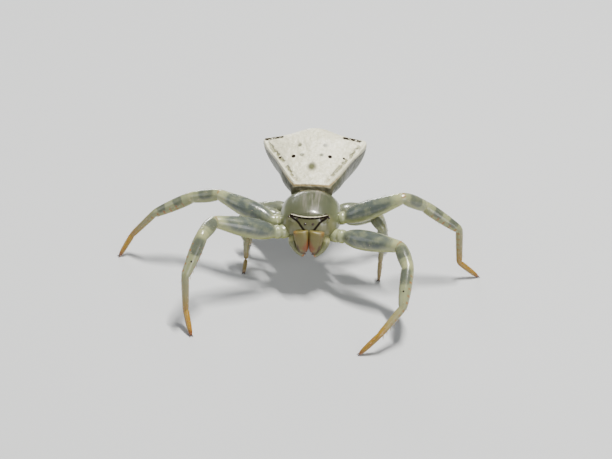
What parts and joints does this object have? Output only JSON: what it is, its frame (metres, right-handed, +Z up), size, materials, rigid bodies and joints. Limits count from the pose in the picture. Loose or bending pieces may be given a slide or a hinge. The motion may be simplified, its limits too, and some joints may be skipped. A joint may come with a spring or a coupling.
{
  "type": "white flower crab spider, still life-size model",
  "caption": "Life-size still model of a white crab spider standing on its eight feet, with its two front pairs of legs spread wide.",
  "frame": {"origin": "on the floor, under the middle of the box that the spider fills", "axes": "+Z up; the spider faces -Y and its right side, as a viewer in front sees it, is on +X"},
  "size_m": [0.0194, 0.0148, 0.0063],
  "materials": {
    "cephalothorax": "glossy translucent shell, grey-green with pale streaks",
    "abdomen": "smooth porcelain cream-white skin with grey-green flanks",
    "jaws": "olive-tan shell with brown edges",
    "legs": "milky translucent yellow-green shell with grey windows and brown toes",
    "eyes": "small glossy dark beads"
  },
  "bodies": {
    "root": {"cephalothorax": "cephalothorax", "abdomen": "abdomen", "jaw_left": "jaws", "jaw_right": "jaws", "palp_left": "legs", "palp_right": "legs", "leg_1_left": "legs", "leg_1_right": "legs", "leg_2_left": "legs", "leg_2_right": "legs", "leg_3_left": "legs", "leg_3_right": "legs", "leg_4_left": "legs", "leg_4_right": "legs", "eye_front_inner_left": "eyes", "eye_front_inner_right": "eyes", "eye_front_outer_left": "eyes", "eye_front_outer_right": "eyes", "eye_back_inner_left": "eyes", "eye_back_inner_right": "eyes", "eye_back_outer_left": "eyes", "eye_back_outer_right": "eyes"}
  },
  "joints": []
}
